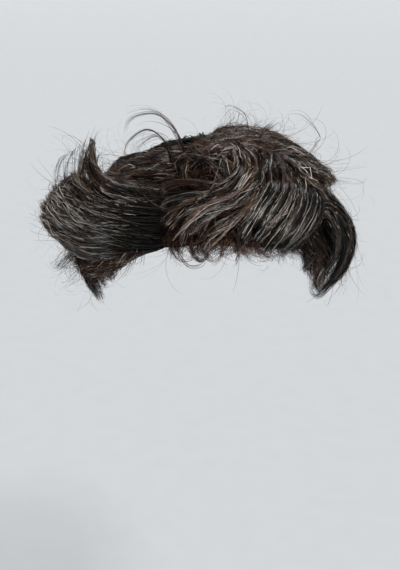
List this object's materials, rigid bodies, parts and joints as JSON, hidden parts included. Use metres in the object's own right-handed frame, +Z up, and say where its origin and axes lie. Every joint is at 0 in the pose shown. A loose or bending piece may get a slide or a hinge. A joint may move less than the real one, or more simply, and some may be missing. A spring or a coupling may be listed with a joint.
{
  "type": "toupee hairpiece",
  "caption": "Short wavy toupee: a thin domed foundation with dark, grey-flecked hair swept out at one temple, waved over the forehead and rolled into a side curl.",
  "frame": {"origin": "the inside of the foundation where it rests on the crown of the head", "axes": "+Z up along the head's upright axis, -Y towards the face, +X to the right seen from the face side, which is the wearer's left"},
  "size_m": [0.2283, 0.227, 0.1609],
  "materials": {
    "foundation": "matte fine net",
    "hair": "glossy strands, dark brown to black with brown and grey strands"
  },
  "bodies": {
    "root": {"base_cap": "foundation", "temple_wing": "hair", "quiff": "hair", "centre_wave": "hair", "front_sheet": "hair", "side_curl": "hair", "fringe_curls": "hair", "crown_right": "hair", "crown_top": "hair", "crown_left": "hair", "left_side": "hair", "right_side": "hair", "back_hair": "hair"}
  },
  "joints": []
}
